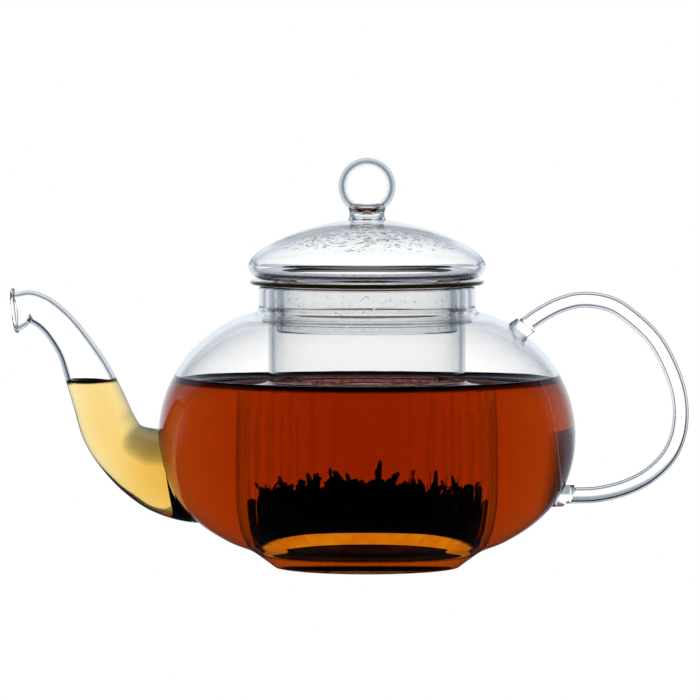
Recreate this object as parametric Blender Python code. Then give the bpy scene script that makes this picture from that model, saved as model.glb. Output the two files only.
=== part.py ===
"""A clear glass teapot with a glass infuser and a domed glass lid.

Metres, +Z up. The origin is the centre of the flat base, on the bowl's axis. The spout
points along -X and the handle stands at +X, so the XZ plane is the pot's mirror plane.
The bowl, spout and handle are blown or drawn apart and fused together. The infuser hangs
in the neck by its rim, and the lid rests on that rim with its skirt inside the infuser.
"""
import math

import bmesh
import bpy
import numpy as np
from mathutils import Matrix

# Driving dimensions, in metres
GAP = 0.0003             # air left between neighbouring pieces
WALL = 0.0020            # wall of the bowl, the spout root and the lid
TURN_STEPS = 48          # facets round a turned piece
KNOB_STEPS = 24

BOWL_R = 0.0700          # greatest radius of the bowl
BOWL_WAIST_Z = 0.0455    # height of that radius
NECK_R = 0.0363          # outside of the neck
NECK_TOP_Z = 0.0946
BASE_R = 0.0310          # flat the pot stands on
BASE_THICK = 0.0028

INFUSER_R = 0.0330       # outside of the infuser's tube
INFUSER_WALL = 0.0016
INFUSER_FLOOR_Z = 0.0175
INFUSER_ROUND_Z = 0.0245  # where the tube starts to turn in to its floor
INFUSER_CORNER_R = 0.0080  # how far in from the tube that turn reaches
SLOT_COUNT = 36
SLOT_WIDTH = 0.0006
SLOT_START = 0.25        # where the first slot stands, as a part of the step between slots
SLOT_LOW_Z = 0.0200
SLOT_HIGH_Z = 0.0500
RIM_R = 0.0393           # flange that hangs on the neck
RIM_THICK = 0.0014

LID_R = 0.0398           # widest part of the lid
LID_WIDE_Z = 0.1015
LID_RISE = 0.0155        # from the widest part to the crown
LID_DOME_POWER = 1.6     # 2 would be an ellipse; less is a flatter flank
LID_FOOT_R = 0.0350      # outer edge of the face the lid rests on
SKIRT_R = 0.0302
SKIRT_WALL = 0.0018
SKIRT_LOW_Z = 0.0790

STEM_R = 0.0063
STEM_WALL = 0.0018
BALL_R = 0.0096
BALL_Z = 0.1277
BALL_BORE_R = 0.0016     # blow hole under the ball, which opens its hollow
BALL_WALL = 0.0018

ROD_R = 0.0027           # handle rod
WELD_R = 0.0039          # weld of melted glass at each end of the rod
WELD_THICK = 0.0030
LIP_WALL = 0.0013        # wall of the spout at its mouth

CLEAR_GLASS = (0.86, 0.90, 0.92)
RIM_GLASS = (0.16, 0.11, 0.04)

# Outside of the bowl from the neck down to the flat base: radius, height
BOWL_OUTLINE = [
    (NECK_R, 0.0875), (0.0369, 0.0860), (0.0386, 0.0853), (0.0440, 0.0835),
    (0.0495, 0.0804), (0.0544, 0.0767), (0.0590, 0.0725), (0.0632, 0.0670),
    (0.0677, 0.0578), (BOWL_R, BOWL_WAIST_Z), (0.0689, 0.0345), (0.0646, 0.0237),
    (0.0570, 0.0154), (0.0470, 0.0089), (0.0390, 0.0056), (0.0345, 0.0026),
    (BASE_R, 0.0),
]

# Rings that the bowl's wall is parted into above its base: name, height of the top
BOWL_RINGS = [
    ("pot_foot", 0.0140), ("pot_lower_belly", 0.0340), ("pot_waist", 0.0575),
    ("pot_shoulder", 0.0765), ("pot_collar", 0.0870), ("pot_neck", NECK_TOP_Z),
]

# Middle line of the spout from its mouth into the bowl: x, z, outside radius
SPOUT_LINE = [
    (-0.1184, 0.0860, 0.0075), (-0.1170, 0.0862, 0.0066), (-0.1154, 0.0869, 0.0057),
    (-0.1132, 0.0875, 0.00535), (-0.1093, 0.0860, 0.0054), (-0.1052, 0.0829, 0.00545),
    (-0.1019, 0.0792, 0.00575), (-0.0980, 0.0735, 0.0063), (-0.0940, 0.0655, 0.0077),
    (-0.0895, 0.0545, 0.0089), (-0.0867, 0.0470, 0.0095), (-0.0829, 0.0409, 0.0098),
    (-0.0768, 0.0362, 0.0118), (-0.0692, 0.0330, 0.0144), (-0.0600, 0.0310, 0.0158),
    (-0.0500, 0.0302, 0.0158),
]

# Middle line of the handle rod, both ends of which run on into the bowl: x, z
HANDLE_LINE = [
    (0.0470, 0.0765), (0.0518, 0.0801), (0.0578, 0.0844), (0.0645, 0.0879),
    (0.0721, 0.0897), (0.0818, 0.0882), (0.0897, 0.0830), (0.0966, 0.0761),
    (0.1010, 0.0685), (0.1042, 0.0600), (0.1053, 0.0521), (0.1045, 0.0445),
    (0.1014, 0.0373), (0.0953, 0.0310), (0.0875, 0.0268), (0.0778, 0.0243),
    (0.0688, 0.0239), (0.0600, 0.0238),
]


def clear_scene():
    """Remove every object, so that the file can be run twice."""
    for old in list(bpy.data.objects):
        bpy.data.objects.remove(old, do_unlink=True)


def glass(name, colour):
    """A polished glass of its own for one sub-part."""
    material = bpy.data.materials.new(name + "_glass")
    material.use_nodes = True
    shader = material.node_tree.nodes["Principled BSDF"]
    shader.inputs["Base Color"].default_value = (*colour, 1.0)
    shader.inputs["Roughness"].default_value = 0.02
    shader.inputs["Metallic"].default_value = 0.0
    shader.inputs["Transmission Weight"].default_value = 1.0
    shader.inputs["IOR"].default_value = 1.47
    return material


def add_object(name, solid, colour=CLEAR_GLASS):
    """Turn a bmesh into a smooth-shaded object with its normals facing out."""
    bmesh.ops.remove_doubles(solid, verts=solid.verts, dist=1e-6)
    bmesh.ops.dissolve_degenerate(solid, edges=solid.edges, dist=1e-7)
    bmesh.ops.recalc_face_normals(solid, faces=solid.faces)
    mesh = bpy.data.meshes.new(name)
    solid.to_mesh(mesh)
    solid.free()
    mesh.shade_smooth()
    mesh.set_sharp_from_angle(angle=math.radians(40))
    mesh.materials.append(glass(name, colour))
    made = bpy.data.objects.new(name, mesh)
    bpy.context.collection.objects.link(made)
    return made


def smooth_line(points, count):
    """A centripetal Catmull-Rom curve through the points, read at `count` even steps."""
    points = np.array(points, float)
    ends = np.vstack([2 * points[0] - points[1], points, 2 * points[-1] - points[-2]])
    knots = np.concatenate([[0], np.cumsum(np.linalg.norm(np.diff(ends, axis=0), axis=1) ** 0.5)])
    fine = []
    for i in range(1, len(ends) - 2):
        t0, t1, t2, t3 = knots[i - 1:i + 3]
        p0, p1, p2, p3 = ends[i - 1:i + 3]
        t = np.linspace(t1, t2, 24, endpoint=False)[:, None]
        a1 = (t1 - t) / (t1 - t0) * p0 + (t - t0) / (t1 - t0) * p1
        a2 = (t2 - t) / (t2 - t1) * p1 + (t - t1) / (t2 - t1) * p2
        a3 = (t3 - t) / (t3 - t2) * p2 + (t - t2) / (t3 - t2) * p3
        b1 = (t2 - t) / (t2 - t0) * a1 + (t - t0) / (t2 - t0) * a2
        b2 = (t3 - t) / (t3 - t1) * a2 + (t - t1) / (t3 - t1) * a3
        fine.append((t2 - t) / (t2 - t1) * b1 + (t - t1) / (t2 - t1) * b2)
    fine = np.vstack(fine + [points[-1:]])
    along = np.concatenate([[0], np.cumsum(np.linalg.norm(np.diff(fine, axis=0), axis=1))])
    stops = np.linspace(0, along[-1], count)
    return np.column_stack([np.interp(stops, along, fine[:, k]) for k in range(fine.shape[1])])


def side_of(line):
    """Unit normals on the left of a flat line, looking from its first point to its last."""
    along = np.gradient(line, axis=0)
    along /= np.linalg.norm(along, axis=1)[:, None]
    return np.column_stack([-along[:, 1], along[:, 0]])


def turned(name, outline, colour=CLEAR_GLASS, steps=TURN_STEPS):
    """Spin a closed outline of (radius, height) points round the Z axis."""
    solid = bmesh.new()
    ring = [solid.verts.new((r, 0, z)) for r, z in outline]
    edges = [solid.edges.new(pair) for pair in zip(ring, ring[1:])]
    if outline[0][0] > 0 or outline[-1][0] > 0:
        edges.append(solid.edges.new((ring[-1], ring[0])))
    bmesh.ops.spin(solid, geom=ring + edges, cent=(0, 0, 0), axis=(0, 0, 1),
                   angle=2 * math.pi, steps=steps)
    return add_object(name, solid, colour)


def swept(name, line, radii, sides, colour=CLEAR_GLASS):
    """A round bar along a line of (x, z) points, with a radius at each and flat ends."""
    normals = side_of(line)
    turns = np.linspace(0, 2 * math.pi, sides, endpoint=False)
    solid = bmesh.new()
    rings = []
    for point, normal, radius in zip(line, normals, radii):
        out = radius * np.cos(turns)
        places = np.column_stack([point[0] + out * normal[0], radius * np.sin(turns),
                                  point[1] + out * normal[1]])
        rings.append([solid.verts.new(place) for place in places])
    for ring, following in zip(rings, rings[1:]):
        for k in range(sides):
            after = (k + 1) % sides
            solid.faces.new((ring[k], ring[after], following[after], following[k]))
    solid.faces.new(rings[0])
    solid.faces.new(rings[-1])
    return add_object(name, solid, colour)


def as_cutter(tool):
    """Hide an object that only shapes others."""
    tool.hide_render = True
    tool.display_type = 'WIRE'
    return tool


def trim(piece, tool, operation='DIFFERENCE'):
    """Shape the piece by the tool with an exact Boolean."""
    step = piece.modifiers.new(tool.name, 'BOOLEAN')
    step.operation = operation
    step.solver = 'EXACT'
    step.object = tool


def arc(centre, radii, start, end, count):
    """Points on an ellipse's arc, angles in degrees from +X."""
    turns = np.radians(np.linspace(start, end, count))
    across = centre[0] + radii[0] * np.cos(turns)
    up = centre[1] + radii[1] * np.sin(turns)
    return list(zip(across, up))


def bowl_outside(grown=0.0):
    """The bowl from the neck's foot to the flat base, moved out by `grown`."""
    outside = smooth_line(BOWL_OUTLINE, 19)
    return outside + side_of(outside) * grown


def between(side, low, high):
    """The stretch of one side of the bowl between two heights, from low to high."""
    side = side[np.argsort(side[:, 1])]
    middle = side[(side[:, 1] > low) & (side[:, 1] < high)]
    low_r, high_r = np.interp((low, high), side[:, 1], side[:, 0])
    return [(low_r, low), *middle, (high_r, high)]


def make_bowl():
    """Blown bowl with a straight neck on a flat base, as a disc and the rings stacked on it.

    The real bowl is one wall. It is parted into rings, each nearly straight in section, so
    that the space inside the bowl and the neck stays open in the simple solids made from them.
    """
    outside = np.vstack([[(NECK_R - GAP, NECK_TOP_Z), (NECK_R, NECK_TOP_Z - GAP)], bowl_outside()])
    inside = bowl_outside(-WALL)
    inside = inside[inside[:, 1] > BASE_THICK + WALL]
    neck = [(NECK_R - WALL + GAP, NECK_TOP_Z), (NECK_R - WALL, NECK_TOP_Z - GAP)]
    inside = np.vstack([neck, inside, [(BASE_R, BASE_THICK)]])

    low = BASE_THICK + GAP
    rim = between(outside, 0.0, low) + between(inside, BASE_THICK, low)[::-1]
    rings = [turned("pot_base", [(0.0, 0.0), *rim, (0.0, BASE_THICK)])]
    for name, high in BOWL_RINGS:
        low += GAP
        rings.append(turned(name, between(outside, low, high) + between(inside, low, high)[::-1]))
        low = high
    return rings


def bowl_block(name, grown):
    """A solid with the bowl's outside, moved out by `grown`, that shapes what meets it."""
    outside = bowl_outside(grown)
    outline = [(0.0, NECK_TOP_Z), (outside[0][0], NECK_TOP_Z), *outside, (0.0, outside[-1][1])]
    return as_cutter(turned(name, outline))


def make_spout(rings, block):
    """Bent, tapering spout with a flared lip, open into the bowl through its rings."""
    line = smooth_line(SPOUT_LINE, 22)
    wall = np.linspace(LIP_WALL, WALL, len(line))
    middle = line[:, :2]
    spout = swept("spout", middle, line[:, 2], 22)
    past_mouth = np.vstack([2 * middle[0] - middle[1], middle])
    past_radii = np.concatenate([line[:1, 2] - wall[0], line[:, 2] - wall])
    bore = as_cutter(swept("spout_bore", past_mouth, past_radii, 18))
    trim(spout, block)
    for piece in (spout, *rings):
        trim(piece, bore)


def make_handle(block):
    """Solid rod handle, and the weld of melted glass between each end and the bowl."""
    line = smooth_line(HANDLE_LINE, 34)
    rod = swept("handle_rod", line, [ROD_R] * len(line), 12)
    trim(rod, bowl_block("above_welds", WELD_THICK + GAP))
    weld_layer = bowl_block("weld_layer", WELD_THICK)
    for name, end in (("handle_upper_weld", line[:5]), ("handle_lower_weld", line[-5:][::-1])):
        weld = swept(name, end, np.linspace(WELD_R, ROD_R, len(end)), 16)
        trim(weld, weld_layer, 'INTERSECT')
        trim(weld, block)


def make_infuser():
    """Round-floored glass tube with fine slots, and the flange it hangs by."""
    bore_r = INFUSER_R - INFUSER_WALL
    corner = (INFUSER_CORNER_R, INFUSER_ROUND_Z - INFUSER_FLOOR_Z)
    middle = (INFUSER_R - corner[0], INFUSER_ROUND_Z)
    inner_corner = (corner[0] - INFUSER_WALL, corner[1] - INFUSER_WALL)
    outline = [(0.0, INFUSER_FLOOR_Z + INFUSER_WALL)]
    outline += arc(middle, inner_corner, -90, 0, 5)
    outline += [(bore_r, NECK_TOP_Z), (INFUSER_R, NECK_TOP_Z)]
    outline += arc(middle, corner, 0, -90, 6)
    outline += [(0.0, INFUSER_FLOOR_Z)]
    tube = turned("infuser_tube", outline)
    trim(tube, slot_blades())

    low = NECK_TOP_Z + GAP
    high = low + RIM_THICK
    outline = [(bore_r, low), (bore_r, high), (RIM_R - GAP, high), (RIM_R, high - GAP)]
    outline += [(RIM_R, low + GAP), (RIM_R - GAP, low)]
    turned("infuser_rim", outline, RIM_GLASS)


def slot_blades():
    """Thin upright blades, evenly round the axis, that cut the slots."""
    blades = bmesh.new()
    middle = (SLOT_LOW_Z + SLOT_HIGH_Z) / 2
    size = (INFUSER_CORNER_R, SLOT_WIDTH, SLOT_HIGH_Z - SLOT_LOW_Z)
    for k in range(SLOT_COUNT):
        turn = (k + SLOT_START) * 2 * math.pi / SLOT_COUNT
        box = bmesh.ops.create_cube(blades, size=1.0)["verts"]
        bmesh.ops.scale(blades, vec=size, verts=box)
        bmesh.ops.translate(blades, vec=(INFUSER_R - size[0] / 4, 0, middle), verts=box)
        spin = Matrix.Rotation(turn, 3, 'Z')
        bmesh.ops.rotate(blades, cent=(0, 0, 0), matrix=spin, verts=box)
    return as_cutter(add_object("slot_blades", blades))


def crown(radius, rise, r):
    """Height of the lid's dome above its widest part, at distance r from the axis."""
    return rise * (1 - (r / radius) ** LID_DOME_POWER) ** (1 / LID_DOME_POWER)


def make_lid():
    """Domed lid whose edge curls under to a flat ring, and the skirt below the ring."""
    foot_z = NECK_TOP_Z + 2 * GAP + RIM_THICK
    bore_r = SKIRT_R - SKIRT_WALL
    curl = (LID_R - LID_FOOT_R, LID_WIDE_Z - foot_z)
    middle = (LID_FOOT_R, LID_WIDE_Z)
    inner_curl = (curl[0] - WALL, curl[1] - WALL)
    spread = np.sin(np.linspace(0, math.pi / 2, 8))
    outline = [(0.0, LID_WIDE_Z + LID_RISE - WALL)]
    for r in (LID_R - WALL) * spread[1:-1]:
        outline.append((r, LID_WIDE_Z + crown(LID_R - WALL, LID_RISE - WALL, r)))
    outline += arc(middle, inner_curl, 0, -90, 3)
    outline += [(bore_r, foot_z + WALL), (bore_r, foot_z)]
    outline += arc(middle, curl, -90, 0, 5)
    for r in LID_R * spread[-2:0:-1]:
        outline.append((r, LID_WIDE_Z + crown(LID_R, LID_RISE, r)))
    outline += [(0.0, LID_WIDE_Z + LID_RISE)]
    turned("lid_dome", outline)

    top = foot_z - GAP
    outline = [(bore_r, top), (bore_r, SKIRT_LOW_Z + GAP), (bore_r + GAP, SKIRT_LOW_Z)]
    outline += [(SKIRT_R - GAP, SKIRT_LOW_Z), (SKIRT_R, SKIRT_LOW_Z + GAP), (SKIRT_R, top)]
    turned("lid_skirt", outline)


def make_knob():
    """Hollow ball with a blow hole underneath, on a short hollow stem."""
    inner_r = BALL_R - BALL_WALL
    edge = math.degrees(math.asin(BALL_BORE_R / BALL_R))
    inner_edge = math.degrees(math.asin(BALL_BORE_R / inner_r))
    outside = arc((0.0, BALL_Z), (BALL_R, BALL_R), edge - 90, 90, 11)[:-1]
    inside = arc((0.0, BALL_Z), (inner_r, inner_r), 90, inner_edge - 90, 9)[1:]
    outline = [(0.0, BALL_Z + inner_r), *inside, *outside, (0.0, BALL_Z + BALL_R)]
    turned("knob_ball", outline, steps=KNOB_STEPS)

    outline = []
    for r in (STEM_R - STEM_WALL, STEM_R):
        outline.append((r, LID_WIDE_Z + crown(LID_R, LID_RISE, r) + 2 * GAP))
    reach = BALL_R + GAP
    for r in (STEM_R, STEM_R - STEM_WALL):
        outline.append((r, BALL_Z - math.sqrt(reach ** 2 - r ** 2)))
    turned("knob_stem", outline, steps=KNOB_STEPS)


def main():
    clear_scene()
    rings = make_bowl()
    block = bowl_block("bowl_block", GAP)
    make_spout(rings, block)
    make_handle(block)
    make_infuser()
    make_lid()
    make_knob()


main()
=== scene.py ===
import math

import bmesh
import bpy
import numpy as np
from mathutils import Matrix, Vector


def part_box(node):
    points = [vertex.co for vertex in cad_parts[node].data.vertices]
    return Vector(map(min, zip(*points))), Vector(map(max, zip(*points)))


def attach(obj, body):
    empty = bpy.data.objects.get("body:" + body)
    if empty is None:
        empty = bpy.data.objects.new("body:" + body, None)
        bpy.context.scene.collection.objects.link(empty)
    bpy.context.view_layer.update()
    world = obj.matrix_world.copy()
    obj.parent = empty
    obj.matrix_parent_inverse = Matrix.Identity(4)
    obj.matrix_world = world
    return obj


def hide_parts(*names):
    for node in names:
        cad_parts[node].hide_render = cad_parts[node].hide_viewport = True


# The looks of a clear glass teapot: blown bowl and spout, drawn handle, slotted infuser with
# soaked leaves, domed lid with condensation under it, and black tea up to the shoulder.
# Metres, +Z up. Each shape is an outline turned round the Z axis or carried along a line.

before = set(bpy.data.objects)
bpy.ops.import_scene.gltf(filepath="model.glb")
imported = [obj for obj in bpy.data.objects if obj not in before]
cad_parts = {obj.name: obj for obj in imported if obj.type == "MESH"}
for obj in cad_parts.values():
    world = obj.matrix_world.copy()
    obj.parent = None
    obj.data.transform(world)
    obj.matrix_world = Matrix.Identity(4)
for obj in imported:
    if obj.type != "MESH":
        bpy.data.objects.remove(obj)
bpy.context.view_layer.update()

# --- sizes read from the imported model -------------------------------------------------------
BOWL_NODES = [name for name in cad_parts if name.startswith("pot_")]
BASE_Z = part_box("pot_base")[0].z
BOWL_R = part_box("pot_waist")[1].y
NECK_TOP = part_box("pot_neck")[1].z
TUBE_LOW, TUBE_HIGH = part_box("infuser_tube")
RIM_LOW, RIM_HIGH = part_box("infuser_rim")
DOME_LOW, DOME_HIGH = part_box("lid_dome")
SKIRT_LOW, SKIRT_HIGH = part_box("lid_skirt")
STEM_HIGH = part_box("knob_stem")[1]
BALL_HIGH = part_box("knob_ball")[1]
SPOUT_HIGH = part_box("spout")[1]
TUBE_R = TUBE_HIGH.x
RIM_R = RIM_HIGH.x
LID_R = DOME_HIGH.x
SKIRT_R = SKIRT_HIGH.x
STEM_R = STEM_HIGH.x
BALL_R = BALL_HIGH.x
BALL_Z = BALL_HIGH.z - BALL_R

# --- sizes of the glass itself --------------------------------------------------------------
WALL = 0.0020             # bowl, spout root and lid
BASE_THICK = 0.0028
TUBE_WALL = 0.0016
SKIRT_WALL = 0.0018
STEM_WALL = 0.0018
BUBBLE_R = 0.0079         # hollow inside the knob's ball
LIP_WALL = 0.0013
LIP_BEAD = 0.00105        # rolled bead round the spout's mouth
LIP_STEPS = 1             # steps of the spout's line that the bead takes up
ROD_R = 0.0027
ROD_BORE_R = 0.0017       # the handle is shown as tube that its welds seal
WELD_R = 0.0039
WELD_THICK = 0.0030
FUSE = 0.00004            # hairline between pieces that were fused hot
SLOT_COUNT = 36
SLOT_WIDTH = 0.0003
SLOT_LOW = 0.0200
SLOT_START = 0.25         # where the first slot stands, as a part of the step between slots
SLOT_HIGH = 0.0500
TUBE_CORNER = (0.0080, 0.0070)
LID_WIDE_Z = 0.1015
LID_DOME_POWER = 1.6
LID_FOOT_R = 0.0350

# --- tea ------------------------------------------------------------------------------------
TEA_LEVEL = 0.0612
MENISCUS_RISE = 0.0026    # climb of the tea up a glass wall
MENISCUS_REACH = 0.0021   # how far from the wall that climb dies away
SPOUT_RISE = 0.0017
WIDE = 9                  # how far the block of air over the spout's tea reaches, in half widths
SOAK = 0.0002             # how far the tea's skin lies inside the glass it wets

TURN_STEPS = 192
SPOUT_SIDES = 96

# Outside of the bowl from the neck's foot down to the flat base: radius, height
BOWL_OUTLINE = [
    (0.0363, 0.0875), (0.0369, 0.0860), (0.0386, 0.0853), (0.0440, 0.0835),
    (0.0495, 0.0804), (0.0544, 0.0767), (0.0590, 0.0725), (0.0632, 0.0670),
    (0.0677, 0.0578), (BOWL_R, 0.0455), (0.0689, 0.0345), (0.0646, 0.0237),
    (0.0570, 0.0154), (0.0470, 0.0089), (0.0390, 0.0056), (0.0345, 0.0026),
    (0.0310, BASE_Z),
]

# Middle line of the spout from its mouth into the bowl: x, z, outside radius
SPOUT_LINE = [
    (-0.1184, 0.0860, 0.0075), (-0.1170, 0.0862, 0.0066), (-0.1154, 0.0869, 0.0057),
    (-0.1132, 0.0875, 0.00535), (-0.1093, 0.0860, 0.0054), (-0.1052, 0.0829, 0.00545),
    (-0.1019, 0.0792, 0.00575), (-0.0980, 0.0735, 0.0063), (-0.0940, 0.0655, 0.0077),
    (-0.0895, 0.0545, 0.0089), (-0.0867, 0.0470, 0.0095), (-0.0829, 0.0409, 0.0098),
    (-0.0768, 0.0362, 0.0118), (-0.0692, 0.0330, 0.0144), (-0.0600, 0.0310, 0.0158),
    (-0.0500, 0.0302, 0.0158),
]

# Middle line of the handle rod, both ends of which run on into the bowl: x, z
HANDLE_LINE = [
    (0.0470, 0.0765), (0.0518, 0.0801), (0.0578, 0.0844), (0.0645, 0.0879),
    (0.0721, 0.0897), (0.0818, 0.0882), (0.0897, 0.0830), (0.0966, 0.0761),
    (0.1010, 0.0685), (0.1042, 0.0600), (0.1053, 0.0521), (0.1045, 0.0445),
    (0.1014, 0.0373), (0.0953, 0.0310), (0.0875, 0.0268), (0.0778, 0.0243),
    (0.0688, 0.0239), (0.0600, 0.0238),
]

DRY, WET, CUT = 0, 1, 2   # material places on a glass piece: in air, under the tea, in a slot


# --- lines ----------------------------------------------------------------------------------
def smooth_line(points, count):
    """A centripetal Catmull-Rom curve through the points, read at `count` even steps."""
    points = np.array(points, float)
    ends = np.vstack([2 * points[0] - points[1], points, 2 * points[-1] - points[-2]])
    knots = np.concatenate([[0], np.cumsum(np.linalg.norm(np.diff(ends, axis=0), axis=1) ** 0.5)])
    fine = []
    for i in range(1, len(ends) - 2):
        t0, t1, t2, t3 = knots[i - 1:i + 3]
        p0, p1, p2, p3 = ends[i - 1:i + 3]
        t = np.linspace(t1, t2, 40, endpoint=False)[:, None]
        a1 = (t1 - t) / (t1 - t0) * p0 + (t - t0) / (t1 - t0) * p1
        a2 = (t2 - t) / (t2 - t1) * p1 + (t - t1) / (t2 - t1) * p2
        a3 = (t3 - t) / (t3 - t2) * p2 + (t - t2) / (t3 - t2) * p3
        b1 = (t2 - t) / (t2 - t0) * a1 + (t - t0) / (t2 - t0) * a2
        b2 = (t3 - t) / (t3 - t1) * a2 + (t - t1) / (t3 - t1) * a3
        fine.append((t2 - t) / (t2 - t1) * b1 + (t - t1) / (t2 - t1) * b2)
    fine = np.vstack(fine + [points[-1:]])
    along = np.concatenate([[0], np.cumsum(np.linalg.norm(np.diff(fine, axis=0), axis=1))])
    stops = np.linspace(0, along[-1], count)
    return np.column_stack([np.interp(stops, along, fine[:, k]) for k in range(fine.shape[1])])


def side_of(line):
    """Unit normals on the left of a flat line, looking from its first point to its last."""
    along = np.gradient(line, axis=0)
    along /= np.linalg.norm(along, axis=1)[:, None]
    return np.column_stack([-along[:, 1], along[:, 0]])


def arc(centre, radii, start, end, count):
    """Points on an ellipse's arc, angles in degrees from the outward direction."""
    turns = np.radians(np.linspace(start, end, count))
    return np.column_stack([centre[0] + radii[0] * np.cos(turns), centre[1] + radii[1] * np.sin(turns)])


def straight(start, end, count):
    """Even points from start to end, both counted."""
    return np.linspace(start, end, count)


def bowl_outside(grown=0.0):
    """The bowl from the neck's foot to the flat base, moved out by `grown`."""
    outside = smooth_line(BOWL_OUTLINE, 150)
    outside[:, 0] = np.minimum(outside[:, 0], BOWL_R)
    return outside + side_of(outside) * grown


def bowl_inside(soak=0.0):
    """The bowl's inner face from the middle of its floor up to the neck, `soak` inside the glass."""
    wall = bowl_outside(soak - WALL)
    wall = wall[wall[:, 1] > BASE_THICK + 0.0035][::-1]
    floor = BASE_THICK - soak
    corner = [(0.0, floor), (0.010, floor), (0.020, floor), (0.0275, floor + 0.0003)]
    return smooth_line(np.vstack([corner, wall]), 220)


# --- meshes ---------------------------------------------------------------------------------
def sheet_faces(rows, columns, joined_rows):
    """Four-cornered faces of a grid that closes round its columns, and round its rows if asked."""
    index = np.arange(rows * columns).reshape(rows, columns)
    if joined_rows:
        index = np.vstack([index, index[:1]])
    index = np.hstack([index, index[:, :1]])
    corners = [index[:-1, :-1], index[1:, :-1], index[1:, 1:], index[:-1, 1:]]
    return np.stack(corners, axis=-1).reshape(-1, 4)


def solid(name, places, faces, kinds=None):
    """An object from an array of places and faces, its poles closed and its faces outward."""
    mesh = bpy.data.meshes.new(name)
    mesh.from_pydata(np.reshape(places, (-1, 3)).tolist(), [], np.asarray(faces).tolist())
    if kinds is not None:
        mesh.polygons.foreach_set("material_index", np.asarray(kinds, np.int32))
    work = bmesh.new()
    work.from_mesh(mesh)
    bmesh.ops.remove_doubles(work, verts=work.verts, dist=1e-7)
    bmesh.ops.dissolve_degenerate(work, edges=work.edges, dist=1e-8)
    bmesh.ops.recalc_face_normals(work, faces=work.faces)
    if work.calc_volume(signed=True) < 0:
        bmesh.ops.reverse_faces(work, faces=work.faces)
    work.to_mesh(mesh)
    work.free()
    made = bpy.data.objects.new(name, mesh)
    bpy.context.collection.objects.link(made)
    return made


def turned(name, outline, steps=TURN_STEPS, kinds=None):
    """A turned shape: the point (r, z) of the outline goes to (r cos t, r sin t, z)."""
    outline = np.asarray(outline, float)
    turns = np.linspace(0, 2 * math.pi, steps, endpoint=False)
    across = outline[:, :1]
    places = np.stack([across * np.cos(turns), across * np.sin(turns),
                       np.repeat(outline[:, 1:2], steps, axis=1)], axis=-1)
    joined = outline[0, 0] > 1e-9 or outline[-1, 0] > 1e-9
    faces = sheet_faces(len(outline), steps, joined)
    if kinds is not None:
        kinds = np.repeat(np.asarray(kinds)[:len(faces) // steps], steps)
    return solid(name, places, faces, kinds)


def tube_rings(middle, radii, sides):
    """Rings round a line of (x, z) points: middle + radius (cos t times its normal + sin t times Y)."""
    normals = side_of(middle)
    turns = np.linspace(0, 2 * math.pi, sides, endpoint=False)
    out = np.asarray(radii)[:, None] * np.cos(turns)
    return np.stack([middle[:, :1] + out * normals[:, :1],
                     np.asarray(radii)[:, None] * np.sin(turns),
                     middle[:, 1:2] + out * normals[:, 1:2]], axis=-1)


def bar(name, middle, radii, sides, kind=DRY):
    """A closed round bar along a line: its rings, drawn to a point at both ends."""
    rings = tube_rings(middle, radii, sides)
    places = np.concatenate([np.repeat(rings[:1].mean(1, keepdims=True), sides, 1), rings,
                             np.repeat(rings[-1:].mean(1, keepdims=True), sides, 1)])
    faces = sheet_faces(len(places), sides, False)
    return solid(name, places, faces, np.full(len(faces), kind))


def carve(piece, tool, operation="DIFFERENCE"):
    """Shape the piece by the tool with an exact Boolean, and remove the tool."""
    step = piece.modifiers.new(tool.name, "BOOLEAN")
    step.operation = operation
    step.solver = "EXACT"
    step.object = tool
    shaped = piece.evaluated_get(bpy.context.evaluated_depsgraph_get())
    mesh = bpy.data.meshes.new_from_object(shaped)
    piece.modifiers.clear()
    piece.data = mesh
    bpy.data.objects.remove(tool, do_unlink=True)


def dry_above(piece, height):
    """Cut the wetted faces of a piece along the tea's contact line, and dry those above it."""
    work = bmesh.new()
    work.from_mesh(piece.data)
    wetted = [f for f in work.faces if f.material_index == WET]
    around = {v for f in wetted for v in f.verts} | {e for f in wetted for e in f.edges}
    bmesh.ops.bisect_plane(work, geom=wetted + list(around), dist=1e-7,
                           plane_co=(0, 0, height), plane_no=(0, 0, 1))
    for face in work.faces:
        if face.material_index == WET and face.calc_center_median().z > height:
            face.material_index = DRY
    work.to_mesh(piece.data)
    work.free()


def finish(piece, body, materials, nodes=(), crease=40):
    """Shade a piece, give it its materials, put it on its body, and hide the imported parts it stands for."""
    for material in materials:
        piece.data.materials.append(material)
    piece.data.shade_smooth()
    piece.data.set_sharp_from_angle(angle=math.radians(crease))
    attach(piece, body)
    if nodes:
        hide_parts(*nodes)
    return piece


# --- materials ------------------------------------------------------------------------------
def connect(tree, start, end):
    """Join an output socket to an input socket."""
    tree.links.new(start, end)


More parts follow.
